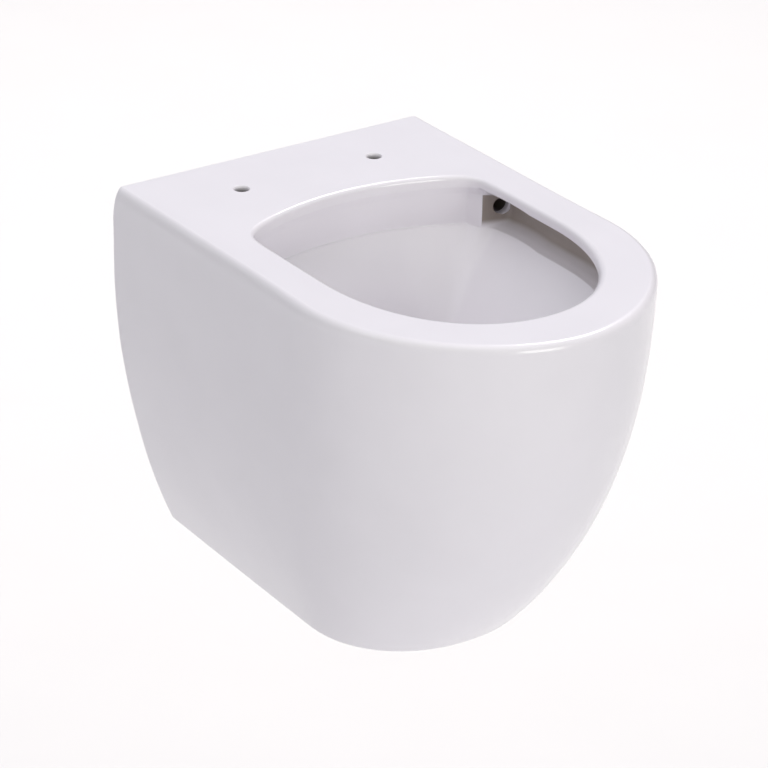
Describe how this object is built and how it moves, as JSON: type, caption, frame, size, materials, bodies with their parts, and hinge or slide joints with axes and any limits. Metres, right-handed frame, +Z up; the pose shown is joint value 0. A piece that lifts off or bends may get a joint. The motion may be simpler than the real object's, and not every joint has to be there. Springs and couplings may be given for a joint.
{
  "type": "wall hung toilet pan",
  "caption": "Rimless white ceramic wall hung toilet pan with bare seat holes and concealed wall brackets clamped from above.",
  "frame": {"origin": "on the wall face, midway between the two wall studs", "axes": "+Z up, +Y into the wall, -Y out along the pan towards its front, +X to the right as seen from behind it looking out"},
  "size_m": [0.365, 0.512, 0.387],
  "materials": {
    "glazed_china": "glossy",
    "seal_rubber": "matte",
    "die_cast_zinc": "satin",
    "zinc_plated_steel": "satin",
    "moulded_nylon": "matte",
    "stainless_steel": "satin",
    "spring_steel": "satin"
  },
  "bodies": {
    "pan": {"ceramic_pan": "glazed_china", "inlet_seal": "seal_rubber", "wall_bracket_left": "die_cast_zinc", "wall_bracket_right": "die_cast_zinc", "stud_washer_left": "zinc_plated_steel", "stud_washer_right": "zinc_plated_steel", "stud_nut_left": "zinc_plated_steel", "stud_nut_right": "zinc_plated_steel", "window_liner_left": "moulded_nylon", "window_liner_right": "moulded_nylon"},
    "clamp_screw_left": {"clamp_screw_left": "stainless_steel", "screw_clip_left": "spring_steel"},
    "clamp_shoe_left": {"clamp_shoe_left": "die_cast_zinc"},
    "clamp_screw_right": {"clamp_screw_right": "stainless_steel", "screw_clip_right": "spring_steel"},
    "clamp_shoe_right": {"clamp_shoe_right": "die_cast_zinc"}
  },
  "joints": [
    {"name": "clamp_screw_left_turn", "type": "hinge", "parent": "pan", "child": "clamp_screw_left", "pos_m": [-0.0775, -0.067, 0], "axis": [0, 0, 1], "range_deg": [0, 4320]},
    {"name": "clamp_shoe_left_slide", "type": "slide", "parent": "pan", "child": "clamp_shoe_left", "axis": [0, 0, -1], "range_m": [0, 0.015]},
    {"name": "clamp_screw_right_turn", "type": "hinge", "parent": "pan", "child": "clamp_screw_right", "pos_m": [0.0775, -0.067, 0], "axis": [0, 0, 1], "range_deg": [0, 4320]},
    {"name": "clamp_shoe_right_slide", "type": "slide", "parent": "pan", "child": "clamp_shoe_right", "axis": [0, 0, -1], "range_m": [0, 0.015]}
  ],
  "couplings": [
    {"joint": "clamp_screw_left_turn", "follows": "clamp_shoe_left_slide", "rad_per_m": 5026.5},
    {"joint": "clamp_screw_right_turn", "follows": "clamp_shoe_right_slide", "rad_per_m": 5026.5}
  ]
}
